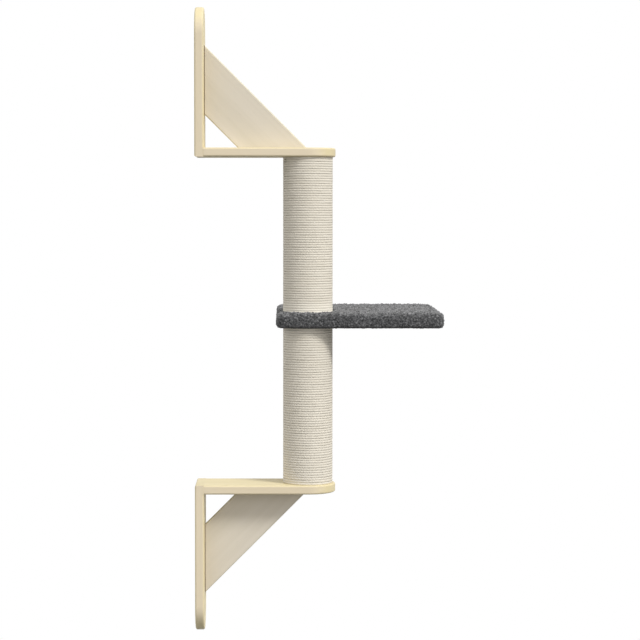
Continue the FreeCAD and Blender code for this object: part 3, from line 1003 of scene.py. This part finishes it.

# %% [markdown]
# The plush is a dark grey mixture of dark and light fibres. Each tuft has a shade of its own, the
# furrows between tufts get painted shade, and fine noise adds single light fibres. The pile is
# brushed along the board, so a noise that is stretched that way mixes in faint streaks. On top, where
# the pile is loose, light and dark lie further apart than on the sides, and the mixture and its
# streaks are painted lighter there as a painted sheen. Cloth of this kind has a soft sheen where it
# is seen at a flat angle, which is a fixed value of the shader.

# %% Plush finish
PLUSH_DARK = srgb(47, 47, 49)
PLUSH_LIGHT = srgb(130, 130, 131)
PLUSH_FIBRE = srgb(188, 188, 188)
# How dark the painted shade in the furrows between tufts is.
FURROW_SHADE_TONE = 0.42
FURROW_BETWEEN = (0.0, 0.7)
TUFTS_PER_METRE = 420
FIBRES_PER_METRE = 1100
BRUSHED = (70, 250, 250)
BRUSHED_FLECKS = (60, 400, 400)
MIXING_NOISE = (0.38, 0.62)
SHADE_SHARE = 0.5
TUFT_NOISE_SHARE = 0.2
BRUSHED_SHARE = 0.5
MIXED_MEAN = 0.6
# The mixture's mean on top is raised as a painted sheen.
PAINTED_SHEEN_MEAN_ON_TOP = 0.86
CONTRAST = (0.9, 2.5)
DARK_PREFERENCE = 1.8
TOP_BETWEEN = (0.6, 0.95)
STREAK_NOISE = (0.54, 0.66)
STREAK_SHARE = 0.55
# Light streaks grow stronger on top, partly as a painted sheen.
STREAKS_AND_SHEEN_FROM_SIDE_TO_TOP = (0.5, 1.2)
SINGLE_FIBRE_NOISE = (0.58, 0.72)
SINGLE_FIBRE_SHARE = 0.7
PLUSH_RELIEF = 1.5 * MM
PLUSH_RELIEF_STRENGTH = 0.9


def attribute_value(tree, name):
    node = tree.nodes.new("ShaderNodeAttribute")
    node.attribute_name = name
    return node.outputs["Fac"]


def mixed_fibres(tree, tufts, on_top):
    """How light the mixture is: 0 is all dark fibres, and 1 all light ones. On top it is painted
    lighter, as a painted sheen.
    """
    brushed = noise_value(tree, object_place(tree, scale=BRUSHED), detail=2.0, roughness=0.6)
    mixed = calculate(tree, "MULTIPLY", attribute_value(tree, "tuft_shade"), SHADE_SHARE)
    for value, share in ((tufts, TUFT_NOISE_SHARE), (brushed, BRUSHED_SHARE)):
        mixed = calculate(tree, "ADD", mixed, remap(tree, value, *MIXING_NOISE, 0, share))
    spread = calculate(tree, "SUBTRACT", mixed, MIXED_MEAN)
    spread = calculate(tree, "MULTIPLY", spread, remap(tree, on_top, 0, 1, *CONTRAST))
    # On top the mixture is made lighter as a painted sheen.
    mean = remap(tree, on_top, 0, 1, MIXED_MEAN, PAINTED_SHEEN_MEAN_ON_TOP)
    mixed = calculate(tree, "MAXIMUM", calculate(tree, "ADD", spread, mean), 0.0)
    return calculate(tree, "POWER", mixed, DARK_PREFERENCE)


def light_flecks(tree, fibres, on_top):
    """1 where single light fibres lie on the mixture, alone or in brushed streaks. The streaks are
    stronger on top, partly as a painted sheen.
    """
    brushed = noise_value(tree, object_place(tree, scale=BRUSHED_FLECKS), detail=1.0)
    streaks = remap(tree, brushed, *STREAK_NOISE, 0, STREAK_SHARE)
    # Stronger streaks on top, partly as a painted sheen.
    strength = remap(tree, on_top, 0, 1, *STREAKS_AND_SHEEN_FROM_SIDE_TO_TOP)
    streaks = calculate(tree, "MULTIPLY", streaks, strength)
    single = remap(tree, fibres, *SINGLE_FIBRE_NOISE, 0, SINGLE_FIBRE_SHARE)
    return calculate(tree, "MAXIMUM", single, streaks)


def plush_finish():
    material, tree, shader = new_finish(
        "grey_plush", Roughness=1.0, Sheen_Weight=0.25, Sheen_Roughness=0.45, Specular_IOR_Level=0.2)
    place = object_place(tree)
    tufts = noise_value(tree, place, TUFTS_PER_METRE, roughness=0.7)
    fibres = noise_value(tree, place, FIBRES_PER_METRE, detail=2.0, roughness=0.6)
    on_top = remap(tree, facing_along(tree, "Z"), *TOP_BETWEEN, 0, 1)
    grey = blend_colours(tree, mixed_fibres(tree, tufts, on_top), PLUSH_DARK, PLUSH_LIGHT)
    flecked = blend_colours(tree, light_flecks(tree, fibres, on_top), grey, PLUSH_FIBRE)
    # The furrows between tufts are darkened as painted shade.
    painted_furrow_shade = remap(tree, attribute_value(tree, "from_border"), *FURROW_BETWEEN, 1, 0)
    linked(tree, darkened(tree, flecked, painted_furrow_shade, FURROW_SHADE_TONE), shader.inputs["Base Color"])
    height = calculate(tree, "ADD", tufts, fibres)
    bump_from(tree, shader, height, PLUSH_RELIEF, PLUSH_RELIEF_STRENGTH)
    return material


plush = plush_finish()
for piece in (cover, panel):
    piece.data.materials.append(plush)
    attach(piece, "root")
    print(piece.name, "is finished")

# %% [markdown]
# Both pieces were cut flat before they were pulled over the board. The cover's cut is the platform's
# outline plus the sides and the hem all round, without the four corners, and the panel's cut is the
# opening inside the hem.

# %% [markdown]
# ## The floor
# The tree hangs well above a plain pale floor. It is a disc that turns white towards its rim, so that
# it runs into the white background from every side, and its middle shows the tree's soft shadow.
# Its underside is clear, so that it hides nothing from an eye below it. Like the world, it is paler
# to the eye than as a source of light, which keeps the undersides of the object dark.

# %% Pale floor
FLOOR_DROP = 0.32
FLOOR_RADIUS = 1.2
FLOOR_SIDES = 128
FLOOR_SEEN = srgb(240, 240, 240)
FLOOR_LIGHTING = srgb(98, 98, 98)
RIM_STARTS = 0.35
RIM_ENDS = 0.97


def plain_shader(tree, kind):
    """A white shader of a simple kind, such as one that glows or one that is clear."""
    node = tree.nodes.new(kind)
    node.inputs["Color"].default_value = WHITE
    return node.outputs[0]


def floor_finish():
    material, tree, shader = new_finish("pale_floor", Roughness=0.9)
    seen = seen_directly(tree)
    linked(tree, blend_colours(tree, seen, FLOOR_LIGHTING, FLOOR_SEEN), shader.inputs["Base Color"])
    distance = tree.nodes.new("ShaderNodeVectorMath")
    distance.operation = "LENGTH"
    tree.links.new(coordinates(tree, "Object"), distance.inputs[0])
    from_middle = distance.outputs["Value"]
    rim = remap(tree, from_middle, FLOOR_RADIUS * RIM_STARTS, FLOOR_RADIUS * RIM_ENDS, 0, 1)
    glow = plain_shader(tree, "ShaderNodeEmission")
    clear = plain_shader(tree, "ShaderNodeBsdfTransparent")
    upper = mixed_shaders(tree, calculate(tree, "MULTIPLY", rim, seen), shader.outputs[0], glow)
    from_below = tree.nodes.new("ShaderNodeNewGeometry").outputs["Backfacing"]
    surface = tree.nodes["Material Output"].inputs["Surface"]
    tree.links.new(mixed_shaders(tree, from_below, upper, clear), surface)
    return material


def lay_floor():
    middle = (cad_low + cad_high) / 2
    place = (middle.x, middle.y, cad_low.z - FLOOR_DROP)
    bpy.ops.mesh.primitive_circle_add(
        vertices=FLOOR_SIDES, radius=FLOOR_RADIUS, fill_type="NGON", location=place)
    floor = bpy.context.active_object
    floor.name = "floor"
    floor.data.materials.append(floor_finish())
    floor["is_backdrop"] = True
    return floor


print("the floor lies at", round(lay_floor().location.z, 2), "m")

# %% [markdown]
# ## Finish
# The picture is shown with plain tones, and the sizes of the imported model and of the dressed one are
# compared: how much the object grew is printed.

# %% Tones and sizes
bpy.context.scene.view_settings.view_transform = "Standard"
low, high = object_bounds()
growth = [a - b for a, b in zip((*cad_low, *high), (*low, *cad_high))]
print("grown by (mm):", [round(v / MM, 1) for v in growth])
